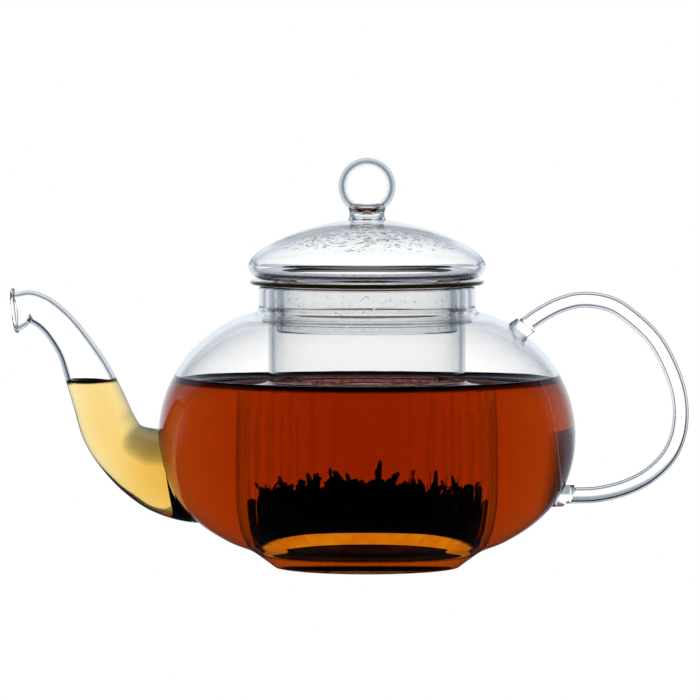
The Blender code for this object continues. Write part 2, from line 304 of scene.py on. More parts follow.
def blown_surface():
    """Node group: slow thickness waves and fine draw lines of hand-worked glass."""
    group = bpy.data.node_groups.new("blown_surface", "ShaderNodeTree")
    for socket, kind, value in (("Wave Scale", "NodeSocketFloat", 22.0),
                                ("Line Scale", "NodeSocketFloat", 180.0),
                                ("Line Share", "NodeSocketFloat", 0.15)):
        made = group.interface.new_socket(name=socket, in_out="INPUT", socket_type=kind)
        made.default_value = value
    group.interface.new_socket(name="Height", in_out="OUTPUT", socket_type="NodeSocketFloat")
    nodes = group.nodes
    given = nodes.new("NodeGroupInput")
    result = nodes.new("NodeGroupOutput")
    place = nodes.new("ShaderNodeTexCoord")
    wave = nodes.new("ShaderNodeTexNoise")
    wave.inputs["Detail"].default_value = 1.0
    line = nodes.new("ShaderNodeTexNoise")
    line.inputs["Detail"].default_value = 2.0
    flat = nodes.new("ShaderNodeMapping")
    flat.inputs["Scale"].default_value = (0.25, 0.25, 1.0)
    share = nodes.new("ShaderNodeMath")
    share.operation = "MULTIPLY_ADD"
    connect(group, place.outputs["Object"], wave.inputs["Vector"])
    connect(group, place.outputs["Object"], flat.inputs["Vector"])
    connect(group, flat.outputs["Vector"], line.inputs["Vector"])
    connect(group, given.outputs["Wave Scale"], wave.inputs["Scale"])
    connect(group, given.outputs["Line Scale"], line.inputs["Scale"])
    connect(group, line.outputs["Fac"], share.inputs[0])
    connect(group, given.outputs["Line Share"], share.inputs[1])
    connect(group, wave.outputs["Fac"], share.inputs[2])
    connect(group, share.outputs["Value"], result.inputs["Height"])
    return group


def glass(name, group, ior=1.47, clear=(0.985, 0.990, 0.992), edge=(0.42, 0.50, 0.56),
          edge_shade_from=0.70, edge_shade_to=1.0, depth=0.00012, wave=22.0):
    """Clear glass: full transmission, greyer where it is seen edge on by painted shade, with slow waves in
    it.
    """
    material = bpy.data.materials.new(name)
    material.use_nodes = True
    tree = material.node_tree
    shader = tree.nodes["Principled BSDF"]
    shader.inputs["Transmission Weight"].default_value = 1.0
    shader.inputs["Metallic"].default_value = 0.0
    shader.inputs["Roughness"].default_value = 0.0
    shader.inputs["IOR"].default_value = ior
    # Painted shade: the Base Color runs from the clear tint to the edge colour as the surface turns edge on,
    # standing in for the dark edges that refraction gives.
    facing = tree.nodes.new("ShaderNodeLayerWeight")
    facing.inputs["Blend"].default_value = 0.5
    ramp = tree.nodes.new("ShaderNodeValToRGB")
    ramp.color_ramp.interpolation = "EASE"
    ramp.color_ramp.elements[0].position = edge_shade_from
    ramp.color_ramp.elements[0].color = (*clear, 1.0)
    ramp.color_ramp.elements[1].position = edge_shade_to
    ramp.color_ramp.elements[1].color = (*edge, 1.0)
    connect(tree, facing.outputs["Facing"], ramp.inputs["Fac"])
    connect(tree, ramp.outputs["Color"], shader.inputs["Base Color"])
    blown = tree.nodes.new("ShaderNodeGroup")
    blown.node_tree = group
    blown.inputs["Wave Scale"].default_value = wave
    bump = tree.nodes.new("ShaderNodeBump")
    bump.inputs["Strength"].default_value = 0.35
    bump.inputs["Distance"].default_value = depth
    connect(tree, blown.outputs["Height"], bump.inputs["Height"])
    connect(tree, bump.outputs["Normal"], shader.inputs["Normal"])
    return material


def tea_material(name, ior):
    """Black tea: coloured by how far light travels through it, with painted shade that turns the edge
    climbing the glass near black.
    """
    material = bpy.data.materials.new(name)
    material.use_nodes = True
    tree = material.node_tree
    shader = tree.nodes["Principled BSDF"]
    shader.inputs["Transmission Weight"].default_value = 1.0
    shader.inputs["Roughness"].default_value = 0.0
    shader.inputs["IOR"].default_value = ior
    place = tree.nodes.new("ShaderNodeTexCoord")
    parts = tree.nodes.new("ShaderNodeSeparateXYZ")
    # Painted shade: above the tea level the meniscus that climbs the glass turns near black.
    height = tree.nodes.new("ShaderNodeMapRange")
    height.inputs["From Min"].default_value = TEA_LEVEL + 0.0002
    height.inputs["From Max"].default_value = TEA_LEVEL + 0.0009
    edge = tree.nodes.new("ShaderNodeValToRGB")
    edge.color_ramp.elements[0].color = (1.0, 1.0, 1.0, 1.0)
    edge.color_ramp.elements[1].color = (0.012, 0.006, 0.004, 1.0)
    connect(tree, place.outputs["Object"], parts.inputs["Vector"])
    connect(tree, parts.outputs["Z"], height.inputs["Value"])
    connect(tree, height.outputs["Result"], edge.inputs["Fac"])
    connect(tree, edge.outputs["Color"], shader.inputs["Base Color"])
    soak = tree.nodes.new("ShaderNodeVolumeAbsorption")
    soak.inputs["Color"].default_value = (0.903, 0.70, 0.05, 1.0)
    soak.inputs["Density"].default_value = 110.0
    connect(tree, soak.outputs["Volume"], tree.nodes["Material Output"].inputs["Volume"])
    return material


def painted_glow_material():
    """Painted glow: an emissive amber skin low in the infuser's corner that stands in for light caught in the
    glass, highest where it faces the eye, with leaf flecks on it.
    """
    material = bpy.data.materials.new("painted_glow_corner_skin")
    material.use_nodes = True
    tree = material.node_tree
    shader = tree.nodes["Principled BSDF"]
    shader.inputs["Roughness"].default_value = 0.2
    shader.inputs["Base Color"].default_value = (0.02, 0.008, 0.0, 1.0)
    # Painted glow: emission, not a lamp, gives this skin its amber light.
    shader.inputs["Emission Strength"].default_value = 1.0
    colour, _ = noise_ramp(tree, 150.0, (0.85, 0.30, 0.012), (1.0, 0.52, 0.05))
    place = tree.nodes.new("ShaderNodeTexCoord")
    parts = tree.nodes.new("ShaderNodeSeparateXYZ")
    height = tree.nodes.new("ShaderNodeMapRange")
    height.inputs["From Min"].default_value = CORNER_Z - TUBE_CORNER[1] + TUBE_WALL
    height.inputs["From Max"].default_value = CORNER_Z
    facing = tree.nodes.new("ShaderNodeLayerWeight")
    total = tree.nodes.new("ShaderNodeMath")
    total.operation = "MULTIPLY_ADD"
    total.inputs[1].default_value = 0.6
    lit = tree.nodes.new("ShaderNodeValToRGB")
    stops(lit, [(0.0, (1.0, 1.0, 1.0)), (0.60, (1.0, 1.0, 1.0)), (0.74, (0.0, 0.0, 0.0))])
    glow = tree.nodes.new("ShaderNodeMix")
    glow.data_type = "RGBA"
    glow.inputs[6].default_value = (0.0, 0.0, 0.0, 1.0)
    connect(tree, place.outputs["Object"], parts.inputs["Vector"])
    connect(tree, parts.outputs["Z"], height.inputs["Value"])
    connect(tree, facing.outputs["Facing"], total.inputs[0])
    connect(tree, height.outputs["Result"], total.inputs[2])
    connect(tree, total.outputs["Value"], lit.inputs["Fac"])
    connect(tree, lit.outputs["Color"], glow.inputs["Factor"])
    connect(tree, colour, glow.inputs[7])
    connect(tree, glow.outputs[2], shader.inputs["Emission Color"])
    return material


def noise_ramp(tree, scale, dark, light):
    """Noise on Object coordinates, spread between two colours; gives the colour and the noise."""
    place = tree.nodes.new("ShaderNodeTexCoord")
    noise = tree.nodes.new("ShaderNodeTexNoise")
    noise.inputs["Scale"].default_value = scale
    noise.inputs["Detail"].default_value = 4.0
    ramp = tree.nodes.new("ShaderNodeValToRGB")
    ramp.color_ramp.elements[0].position = 0.35
    ramp.color_ramp.elements[0].color = (*dark, 1.0)
    ramp.color_ramp.elements[1].position = 0.70
    ramp.color_ramp.elements[1].color = (*light, 1.0)
    connect(tree, place.outputs["Object"], noise.inputs["Vector"])
    connect(tree, noise.outputs["Fac"], ramp.inputs["Fac"])
    return ramp.outputs["Color"], noise.outputs["Fac"]


def plain_material(name, scale, dark, light, roughness, depth, transmission=0.0, coat=0.0):
    """A coloured finish with mottled colour and a fine bump at one scale."""
    material = bpy.data.materials.new(name)
    material.use_nodes = True
    tree = material.node_tree
    shader = tree.nodes["Principled BSDF"]
    shader.inputs["Roughness"].default_value = roughness
    shader.inputs["Transmission Weight"].default_value = transmission
    shader.inputs["Coat Weight"].default_value = coat
    colour, height = noise_ramp(tree, scale, dark, light)
    connect(tree, colour, shader.inputs["Base Color"])
    bump = tree.nodes.new("ShaderNodeBump")
    bump.inputs["Strength"].default_value = 0.6
    bump.inputs["Distance"].default_value = depth
    connect(tree, height, bump.inputs["Height"])
    connect(tree, bump.outputs["Normal"], shader.inputs["Normal"])
    return material


# --- pot ------------------------------------------------------------------------------------
def at_contact(inside, height):
    """The inner face's points with the nearest one moved onto the contact height."""
    nearest = np.argmin(abs(inside[:, 1] - height))
    inside = inside.copy()
    inside[nearest] = (np.interp(height, inside[:, 1], inside[:, 0]), height)
    return inside


def make_bowl():
    """Bowl wall: outer face down, flat base, inner face up, and a rounded lip at the neck's top."""
    lip = WALL / 2
    outside = bowl_outside()
    inside = at_contact(bowl_inside(), TEA_LEVEL + MENISCUS_RISE)
    neck_r = outside[0, 0]
    neck = straight((neck_r, NECK_TOP - lip), outside[0], 12)[:-1]
    base = straight((outside[-1, 0] * 0.98, BASE_Z), (0.0, BASE_Z), 10)
    inner_neck = straight(inside[-1], (neck_r - WALL, NECK_TOP - lip), 12)[1:-1]
    edge = arc((neck_r - lip, NECK_TOP - lip), (lip, lip), 180, 0, 13)[:-1]
    outline = np.vstack([inside, inner_neck, edge, neck, outside, base])
    wetted = (np.arange(len(outline)) < len(inside)) & (outline[:, 1] < TEA_LEVEL + MENISCUS_RISE - 1e-6)
    return turned("bowl_wall", outline, kinds=np.where(wetted, WET, DRY))


def bowl_block(name, grown):
    """A solid with the bowl's outside, moved out by `grown`, that shapes what meets it."""
    outside = bowl_outside(grown)
    low = outside[-1, 1]
    outline = np.vstack([[(0.0, low)], outside[::-1], [(0.0, outside[0, 1])]])
    return turned(name, outline)


def spout_line(count=170):
    """The spout's middle line, outside radius and wall at even steps from the mouth."""
    line = smooth_line(SPOUT_LINE, count)
    return line[:, :2], line[:, 2], np.linspace(LIP_WALL, WALL, count)


def bore_bar(name, soak, kind):
    """The spout's bore as a bar, `soak` larger than the bore, that runs on past the mouth."""
    middle, radii, wall = spout_line()
    middle = np.vstack([middle[0] + (middle[0] - middle[1]) * 3, middle])
    radii = np.concatenate([[radii[0] - wall[0] + soak], radii - wall + soak])
    return bar(name, middle, radii, SPOUT_SIDES, kind)


def make_spout():
    """Spout wall: outer rings to the mouth, half a turn over the rolled bead, inner rings back."""
    middle, radii, wall = spout_line()
    middle, radii, wall = middle[LIP_STEPS:], radii[LIP_STEPS:], wall[LIP_STEPS:]
    outer = tube_rings(middle, radii, SPOUT_SIDES)[::-1]
    inner = tube_rings(middle, radii - wall, SPOUT_SIDES)
    forward = middle[0] - middle[1]
    forward /= np.linalg.norm(forward)
    over = np.radians(np.linspace(-20, 200, 13))
    ring_r = radii[0] - wall[0] / 2
    lip_middle = middle[0] + np.outer(LIP_BEAD * np.sin(over), forward)
    lip_radii = ring_r + LIP_BEAD * np.cos(over)
    normal = side_of(middle)[0]
    turns = np.linspace(0, 2 * math.pi, SPOUT_SIDES, endpoint=False)
    out = lip_radii[:, None] * np.cos(turns)
    lip = np.stack([lip_middle[:, :1] + out * normal[0], lip_radii[:, None] * np.sin(turns),
                    lip_middle[:, 1:2] + out * normal[1]], axis=-1)
    places = np.concatenate([outer, lip, inner])
    faces = sheet_faces(len(places), SPOUT_SIDES, True)
    ring = np.arange(len(faces)) // SPOUT_SIDES
    kinds = np.where((ring >= len(outer) + len(lip)) & (ring < len(places) - 1), WET, DRY)
    return solid("spout_wall", places, faces, kinds)


def make_handle():
    """Bent tube, and a weld of melted glass that flares from the rod onto the bowl at each end."""
    line = smooth_line(HANDLE_LINE, 260)
    line[:, 0] = np.minimum(line[:, 0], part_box("handle_rod")[1].x - ROD_R)
    rod = bar("handle", line, np.full(len(line), ROD_R), 48)
    carve(rod, bowl_block("above_welds", WELD_THICK))
    hollow = bar("handle_bore", line, np.full(len(line), ROD_BORE_R), 40)
    carve(hollow, bowl_block("sealed_ends", WELD_THICK + 0.0010))
    carve(rod, hollow)
    welds = []
    for name, end in (("upper_weld", line[:44]), ("lower_weld", line[-44:][::-1])):
        flare = np.linspace(1, 0, len(end)) ** 0.8
        weld = bar(name, end, ROD_R + (WELD_R - ROD_R) * flare, 48)
        carve(weld, bowl_block("weld_layer", WELD_THICK - FUSE), "INTERSECT")
        carve(weld, bowl_block("bowl_face", FUSE))
        welds.append(weld)
    return rod, welds


# --- infuser --------------------------------------------------------------------------------
def infuser_outline():
    """Floor, rounded corner and wall of the infuser, inner face first, then the outer face down."""
    floor = TUBE_LOW.z
    corner_r, corner_z = TUBE_CORNER
    middle = (TUBE_R - corner_r, floor + corner_z)
    inner = (corner_r - TUBE_WALL, corner_z - TUBE_WALL)
    bore_r = TUBE_R - TUBE_WALL
    return np.vstack([
        straight((0.0, floor + TUBE_WALL), (middle[0], floor + TUBE_WALL), 16)[:-1],
        arc(middle, inner, -90, 0, 18),
        straight((bore_r, middle[1]), (bore_r, TUBE_HIGH.z), 90)[1:],
        straight((TUBE_R, TUBE_HIGH.z), (TUBE_R, middle[1]), 90)[:-1],
        arc(middle, (corner_r, corner_z), 0, -90, 18),
        straight((middle[0], floor), (0.0, floor), 16)[1:],
    ])


def slot_blades():
    """Thin upright boxes round the axis: the corners of a unit box, sized, pushed out and turned."""
    corners = np.array([(x, y, z) for x in (0, 1) for y in (-0.5, 0.5) for z in (0, 1)], float)
    low_r, reach = TUBE_R - 0.010, 0.012
    box = corners * (reach, SLOT_WIDTH, SLOT_HIGH - SLOT_LOW) + (low_r, 0, SLOT_LOW)
    turns = (np.arange(SLOT_COUNT) + SLOT_START) * 2 * math.pi / SLOT_COUNT
    cos, sin = np.cos(turns)[:, None], np.sin(turns)[:, None]
    places = np.stack([box[:, 0] * cos - box[:, 1] * sin, box[:, 0] * sin + box[:, 1] * cos,
                       np.tile(box[:, 2], (SLOT_COUNT, 1))], axis=-1)
    sides = np.array([(0, 1, 3, 2), (4, 6, 7, 5), (0, 4, 5, 1), (2, 3, 7, 6), (0, 2, 6, 4), (1, 5, 7, 3)])
    faces = (sides[None] + 8 * np.arange(SLOT_COUNT)[:, None, None]).reshape(-1, 4)
    return solid("slot_blades", places, faces, np.full(len(faces), CUT))


def make_infuser():
    """Slotted tube, wetted below the tea, and the flange that it hangs by, drawn near black with painted
    shade.
    """
    outline = infuser_outline()
    wetted = outline[:, 1] < TEA_LEVEL + MENISCUS_RISE / 2
    tube = turned("infuser_wall", outline, kinds=np.where(wetted, WET, DRY))
    carve(tube, slot_blades())
    half = (RIM_HIGH.z - RIM_LOW.z) / 2
    bore_r = TUBE_R - TUBE_WALL
    middle_z = RIM_LOW.z + half
    outline = np.vstack([
        straight((bore_r, RIM_LOW.z), (bore_r, RIM_HIGH.z), 4),
        straight((bore_r, RIM_HIGH.z), (RIM_R - half, RIM_HIGH.z), 8)[1:-1],
        arc((RIM_R - half, middle_z), (half, half), 90, -90, 13),
        straight((RIM_R - half, RIM_LOW.z), (bore_r, RIM_LOW.z), 8)[1:-1],
    ])
    return tube, turned("infuser_flange", outline)


# --- lid ------------------------------------------------------------------------------------
def crown(radius, rise, r):
    """Height of the dome above its widest part: rise (1 - (r/radius)^p)^(1/p)."""
    return rise * (1 - np.clip(r / radius, 0, 1) ** LID_DOME_POWER) ** (1 / LID_DOME_POWER)


LID_RISE = DOME_HIGH.z - LID_WIDE_Z


def make_lid():
    """Dome whose edge curls under to a flat foot, and the skirt fused below the foot."""
    foot = DOME_LOW.z
    curl = (LID_R - LID_FOOT_R, LID_WIDE_Z - foot)
    middle = (LID_FOOT_R, LID_WIDE_Z)
    bore_r = SKIRT_R - SKIRT_WALL
    spread = np.sin(np.linspace(0, math.pi / 2, 70))
    inner_r = (LID_R - WALL) * spread[:-1]
    outer_r = LID_R * spread[-2::-1]
    inner = np.column_stack([inner_r, LID_WIDE_Z + crown(LID_R - WALL, LID_RISE - WALL, inner_r)])
    outer = np.column_stack([outer_r, LID_WIDE_Z + crown(LID_R, LID_RISE, outer_r)])
    round_off = 0.0006
    outline = np.vstack([
        inner,
        arc(middle, (curl[0] - WALL, curl[1] - WALL), 0, -90, 16),
        straight((LID_FOOT_R - 0.0005, foot + WALL), (bore_r + round_off, foot + WALL), 8),
        arc((bore_r + round_off, foot + WALL / 2), (round_off, WALL / 2), 100, 260, 9),
        straight((bore_r + round_off, foot), (LID_FOOT_R - 0.0005, foot), 8),
        arc(middle, curl, -90, 0, 24),
        outer,
    ])
    dome = turned("lid_glass_dome", outline)
    half = SKIRT_WALL / 2
    outline = np.vstack([
        straight((bore_r, SKIRT_HIGH.z), (SKIRT_R, SKIRT_HIGH.z), 4),
        straight((SKIRT_R, SKIRT_HIGH.z), (SKIRT_R, SKIRT_LOW.z + half), 24)[1:],
        arc((SKIRT_R - half, SKIRT_LOW.z + half), (half, half), 0, -180, 11)[1:-1],
        straight((bore_r, SKIRT_LOW.z + half), (bore_r, SKIRT_HIGH.z), 24)[:-1],
    ])
    return dome, turned("lid_glass_skirt", outline)


def make_knob():
    """Blown ball with a round hollow in it, open underneath, on a short hollow stem."""
    hole = 0.0016
    edge = math.degrees(math.asin(hole / BALL_R))
    inner_edge = math.degrees(math.asin(hole / BUBBLE_R))
    ball = np.vstack([
        arc((0.0, BALL_Z), (BUBBLE_R, BUBBLE_R), 90, inner_edge - 90, 60),
        arc((0.0, BALL_Z), (BALL_R, BALL_R), edge - 90, 90, 72),
    ])
    ball[0, 0] = 0.0
    ball[-1, 0] = 0.0
    stem_in = STEM_R - STEM_WALL
    low = [LID_WIDE_Z + crown(LID_R, LID_RISE, r) + FUSE for r in (stem_in, STEM_R)]
    high = [BALL_Z - math.sqrt((BALL_R + FUSE) ** 2 - r ** 2) for r in (STEM_R, stem_in)]
    waist = 0.00045
    side = straight(low[1], high[0], 14)
    pinch = waist * np.sin(np.linspace(0, math.pi, 14))
    stem = np.vstack([
        np.column_stack([STEM_R - pinch, side]),
        np.column_stack([stem_in + pinch[::-1] * 0.4, straight(high[1], low[0], 14)]),
    ])
    return turned("knob_bubble_ball", ball, 128), turned("knob_collar", stem, 128)


# --- tea ------------------------------------------------------------------------------------
def climb(distance, rise):
    """Height of a meniscus at a distance from the wall: rise exp(-distance / reach)."""
    return rise * np.exp(-np.abs(distance) / MENISCUS_REACH)


def make_tea():
    """The tea in the bowl and the spout as one body, its skin just inside the glass it wets."""
    contact = TEA_LEVEL + MENISCUS_RISE
    inside = at_contact(bowl_inside(SOAK), contact)
    inside = inside[inside[:, 1] <= contact + 1e-9]
    edge_r = inside[-1, 0]
    steps = np.concatenate([
        np.linspace(edge_r, edge_r - 0.010, 36)[1:],
        np.linspace(edge_r - 0.010, TUBE_R + 0.008, 12)[1:],
        np.linspace(TUBE_R + 0.008, TUBE_R - 0.010, 60)[1:],
        np.linspace(TUBE_R - 0.010, 0.0, 12)[1:],
    ])
    tube_gap = np.maximum(np.abs(steps - (TUBE_R - TUBE_WALL / 2)) - TUBE_WALL / 2, 0)
    rise = climb(edge_r - steps, MENISCUS_RISE) + climb(tube_gap, MENISCUS_RISE / 2)
    top = np.column_stack([steps, TEA_LEVEL + rise])
    outline = np.vstack([inside, top])
    kinds = np.where(np.arange(len(outline)) < len(inside) - 1, WET, DRY)
    tea = turned("tea", outline, kinds=kinds)

    column = bore_bar("spout_tea", SOAK, WET)
    carve(column, spout_air())
    carve(tea, column, "UNION")
    return tea


def spout_air():
    """The air over the tea in the spout: a block whose underside is the meniscus of an oval pipe."""
    middle, radii, wall = spout_line()
    at = np.argmin(abs(middle[:, 1] - TEA_LEVEL))
    along = np.gradient(middle, axis=0)[at]
    bore = radii[at] - wall[at]
    half = (bore * np.linalg.norm(along) / abs(along[1]), bore)
    share = np.concatenate([np.linspace(0, 1, 40), [1.8]])
    rise = climb((1 - np.minimum(share, 1)) * bore, SPOUT_RISE)
    turns = np.linspace(0, 2 * math.pi, SPOUT_SIDES, endpoint=False)
    under = np.stack([middle[at, 0] + half[0] * share[:, None] * np.cos(turns),
                      half[1] * share[:, None] * np.sin(turns),
                      np.repeat((TEA_LEVEL + rise)[:, None], SPOUT_SIDES, 1)], axis=-1)
    lid_z = SPOUT_HIGH.z + 0.02
    wide = under[-1:].copy()
    wide[..., 0] = middle[at, 0] + WIDE * half[0] * np.cos(turns)
    wide[..., 1] = WIDE * half[1] * np.sin(turns)
    over = np.concatenate([wide, under[:1]])
    over[..., 2] = lid_z
    places = np.concatenate([under, wide, over])
    faces = sheet_faces(len(places), SPOUT_SIDES, False)
    return solid("spout_air", places, faces, np.full(len(faces), DRY))


# --- leaves ---------------------------------------------------------------------------------
LEAF_R = 0.0304
LEAF_GAP = 0.0007         # from the leaves to the infuser's glass
GLOW_SKIN_GAP = 0.0002          # from the painted glow skin to the infuser's glass
GLOW_SKIN_THICK = 0.0002
CORNER_R = TUBE_R - TUBE_CORNER[0]
CORNER_Z = TUBE_LOW.z + TUBE_CORNER[1]


def leaf_reach(height):
    """Widest the leaves may lie at a height: an ellipse's quarter inside the infuser's corner."""
    wide, tall = (size - TUBE_WALL - LEAF_GAP for size in TUBE_CORNER)
    down = np.clip((CORNER_Z - height) / tall, 0, 1)
    return CORNER_R + wide * np.sqrt(1 - down ** 2)


def heap_height(across, turn):
    """Top of the heap: a low mound, plus waves round and across it, lower at the wall."""
    base = 0.0108 - 0.0026 * (across / LEAF_R) ** 4
    waves = 0.0009 * np.sin(5 * turn + 0.7) + 0.0007 * np.sin(11 * turn + 230 * across)
    fine = 0.0005 * np.sin(23 * turn + 1.9) * np.cos(410 * across)
    return base + (waves + fine) * np.clip(across / 0.008, 0, 1)


def make_heap():
    """The soaked heap: a polar sheet over the infuser's floor, closed flat underneath."""
    floor = CORNER_Z - (TUBE_CORNER[1] - TUBE_WALL - LEAF_GAP)
    across = np.linspace(0, LEAF_R, 40)
    turns = np.linspace(0, 2 * math.pi, 160, endpoint=False)
    top = floor + heap_height(across[:, None], turns)
    share = np.linspace(0.85, 0, 9)[:, None]
    height = np.concatenate([top, floor + (top[-1] - floor) * share, np.full((1, 160), floor)])
    reach = np.concatenate([np.broadcast_to(across[:, None], top.shape), leaf_reach(height[len(top):-1]),
                            np.zeros((1, 160))])
    reach = np.minimum(reach, leaf_reach(height))
    places = np.stack([reach * np.cos(turns), reach * np.sin(turns), height], axis=-1)
    places[0] = (0.0, 0.0, height[0].mean())
    return solid("leaf_heap", places, sheet_faces(len(places), 160, False))


def make_painted_glow_corner():
    """A skin inside the infuser's rounded corner that carries the painted glow standing in for light caught
    in the glass.
    """
    wide, tall = (size - TUBE_WALL - GLOW_SKIN_GAP for size in TUBE_CORNER)
    outer = arc((CORNER_R, CORNER_Z), (wide, tall), -80, -32, 24)
    inner = arc((CORNER_R, CORNER_Z), (wide - GLOW_SKIN_THICK, tall - GLOW_SKIN_THICK), -32, -80, 24)
    return turned("painted_glow_corner", np.vstack([outer, inner]))


def make_slivers(count=560):
    """Curled strips that stand and lie on the heap: each a thin spindle bent along a parabola."""
    draw = np.random.default_rng(11)
    floor = TUBE_LOW.z + TUBE_WALL
    across = LEAF_R * np.sqrt(draw.uniform(0.02, 1.0, count))
    turn = draw.uniform(0, 2 * math.pi, count)
    clump = 0.75 + 0.35 * np.sin(7 * turn + 1.1) * np.sin(3 * turn + 90 * across)
    length = draw.uniform(0.0035, 0.0095, count) * clump
    lean = np.abs(draw.normal(0.35, 0.35, count))
    heading = draw.uniform(0, 2 * math.pi, count)
    width = draw.uniform(0.0007, 0.0019, count)
    bend = draw.uniform(-0.35, 0.35, count) * length
    root = np.stack([across * np.cos(turn), across * np.sin(turn),
                     floor + heap_height(across, turn) - 0.0018], axis=-1)
    up = np.stack([np.sin(lean) * np.cos(heading), np.sin(lean) * np.sin(heading), np.cos(lean)], axis=-1)
    side = np.stack([-np.sin(heading), np.cos(heading), 0 * heading], axis=-1)
    front = np.cross(up, side)
    share = np.array([0.0, 0.25, 0.5, 0.75, 0.94, 1.0])
    sides = 5
    around = np.linspace(0, 2 * math.pi, sides, endpoint=False)
    thick = np.sin(math.pi * (0.15 + 0.62 * share))
    thick[-1] = 0.0
    spine = (root[:, None] + up[:, None] * (share[None, :, None] * length[:, None, None])
             + side[:, None] * (4 * share * (1 - share))[None, :, None] * bend[:, None, None])
    ring = (side[:, None, None] * np.cos(around)[None, None, :, None]
            + 0.35 * front[:, None, None] * np.sin(around)[None, None, :, None])
    places = spine[:, :, None] + ring * (width[:, None] * thick)[:, :, None, None]
    places[..., 2] = np.maximum(places[..., 2], floor + LEAF_GAP)
    flat = np.linalg.norm(places[..., :2], axis=-1)
    places[..., :2] *= np.minimum(1, leaf_reach(places[..., 2]) / np.maximum(flat, 1e-9))[..., None]
    foot = places[:, :1].mean(2, keepdims=True).repeat(sides, 2)
    places = np.concatenate([foot, places], axis=1)
    faces = sheet_faces(len(share) + 1, sides, False)
    faces = (faces[None] + (len(share) + 1) * sides * np.arange(count)[:, None, None]).reshape(-1, 4)
    return solid("leaf_slivers", places, faces)


# --- drops ----------------------------------------------------------------------------------
def beads(name, at, out, along, size, stretch, height):
    """Drops on a surface: rounded caps, at + size (stretch u along + v across + height w out)."""
    rings = np.radians(np.linspace(0, 90, 5))
    sides = 10
    around = np.linspace(0, 2 * math.pi, sides, endpoint=False)
    flat = np.concatenate([np.sin(rings), [0.0]])
    lift = np.concatenate([np.cos(rings), [0.0]])
    across = np.cross(out, along)
    u = flat[:, None] * np.cos(around)
    v = flat[:, None] * np.sin(around)
    w = np.repeat(lift[:, None], sides, 1)
    size = size[:, None, None, None]
    stretch = stretch[:, None, None, None]
    places = at[:, None, None] + size * (
        stretch * u[None, ..., None] * along[:, None, None]
        + v[None, ..., None] * across[:, None, None]
        + height * w[None, ..., None] * out[:, None, None])
    faces = sheet_faces(len(flat), sides, False)
    faces = (faces[None] + len(flat) * sides * np.arange(len(at))[:, None, None]).reshape(-1, 4)
    return solid(name, places, faces)


def unit(vectors):
    """Each vector at length one."""
    return vectors / np.linalg.norm(vectors, axis=-1, keepdims=True)


def dome_drops(count=620):
    """Condensation in broken arcs on the dome's underside, each drop drawn out round the dome."""
    draw = np.random.default_rng(5)
    arcs = np.array([0.0105, 0.0150, 0.0190, 0.0225, 0.0260, 0.0300])
    across = np.abs(draw.choice(arcs, count) + draw.normal(0, 0.0011, count))
    turn = draw.uniform(0, 2 * math.pi, count)
    radius, rise = LID_R - WALL, LID_RISE - WALL
    small = 1e-5
    slope = (crown(radius, rise, across + small) - crown(radius, rise, across - small)) / (2 * small)
    cos, sin = np.cos(turn), np.sin(turn)
    out = unit(np.stack([slope * cos, slope * sin, -np.ones(count)], axis=-1))
    along = np.stack([-sin, cos, 0 * cos], axis=-1)
    at = np.stack([across * cos, across * sin, LID_WIDE_Z + crown(radius, rise, across)], axis=-1)
    size = draw.uniform(0.00016, 0.00042, count)
    stretch = draw.uniform(1.0, 3.2, count)
    return beads("dome_drops", at + out * 1e-5, out, along, size, stretch, 0.5)


def wall_drops(name, count, radius, low, high, outward, seed, biggest=0.00042):
    """Drops on an upright wall of one radius, on its outer or its inner face."""
    draw = np.random.default_rng(seed)
    turn = draw.uniform(0, 2 * math.pi, count)
    cos, sin = np.cos(turn), np.sin(turn)
    out = outward * np.stack([cos, sin, 0 * cos], axis=-1)
    along = np.stack([-sin, cos, 0 * cos], axis=-1)
    at = np.stack([radius * cos, radius * sin, draw.uniform(low, high, count)], axis=-1)
    size = draw.uniform(0.00015, biggest, count)
    stretch = draw.uniform(0.8, 1.6, count)
    return beads(name, at + out * 1e-5, out, along, size, stretch, 0.5)


def froth(count=170):
    """Small bubbles that float against the inside of the infuser and lie along the tea's edge."""
    draw = np.random.default_rng(3)
    turn = draw.uniform(0, 2 * math.pi, count)
    across = (TUBE_R - TUBE_WALL) - np.abs(draw.normal(0.0016, 0.0020, count)) - 0.0006
    size = draw.uniform(0.00025, 0.00075, count)
    lift = climb(TUBE_R - TUBE_WALL - across, MENISCUS_RISE / 2)
    at = np.stack([across * np.cos(turn), across * np.sin(turn), TEA_LEVEL + lift + 2e-5], axis=-1)
    out = np.tile([0.0, 0.0, 1.0], (count, 1))
    along = np.tile([1.0, 0.0, 0.0], (count, 1))
    return beads("froth", at, out, along, size, np.ones(count), 0.9)


# --- studio ---------------------------------------------------------------------------------
DIM = (0.15, 0.15, 0.15)     # surround as light that has been scattered once sees it
BACKLIGHT = 1.25             # how much brighter the surround is through the glass than to the eye
EYE = (1 / BACKLIGHT,) * 3   # white to the eye, once it is multiplied by the backlight


def ray_mix(tree, by_ray, start):
    """Choose a colour by the kind of ray: each (ray output, colour) pair laid over the last.

    The depths count a ray's reflections or scatterings, and one or more is all of the mix.
    """
    path = tree.nodes.new("ShaderNodeLightPath")
    colour = start
    for ray, over in by_ray:
        mix = tree.nodes.new("ShaderNodeMix")
        mix.data_type = "RGBA"
        connect(tree, path.outputs[ray], mix.inputs["Factor"])
        for place, value in ((6, colour), (7, over)):
            if isinstance(value, tuple):
                mix.inputs[place].default_value = (*value, 1.0)
            else:
                connect(tree, value, mix.inputs[place])
        colour = mix.outputs[2]
    return colour


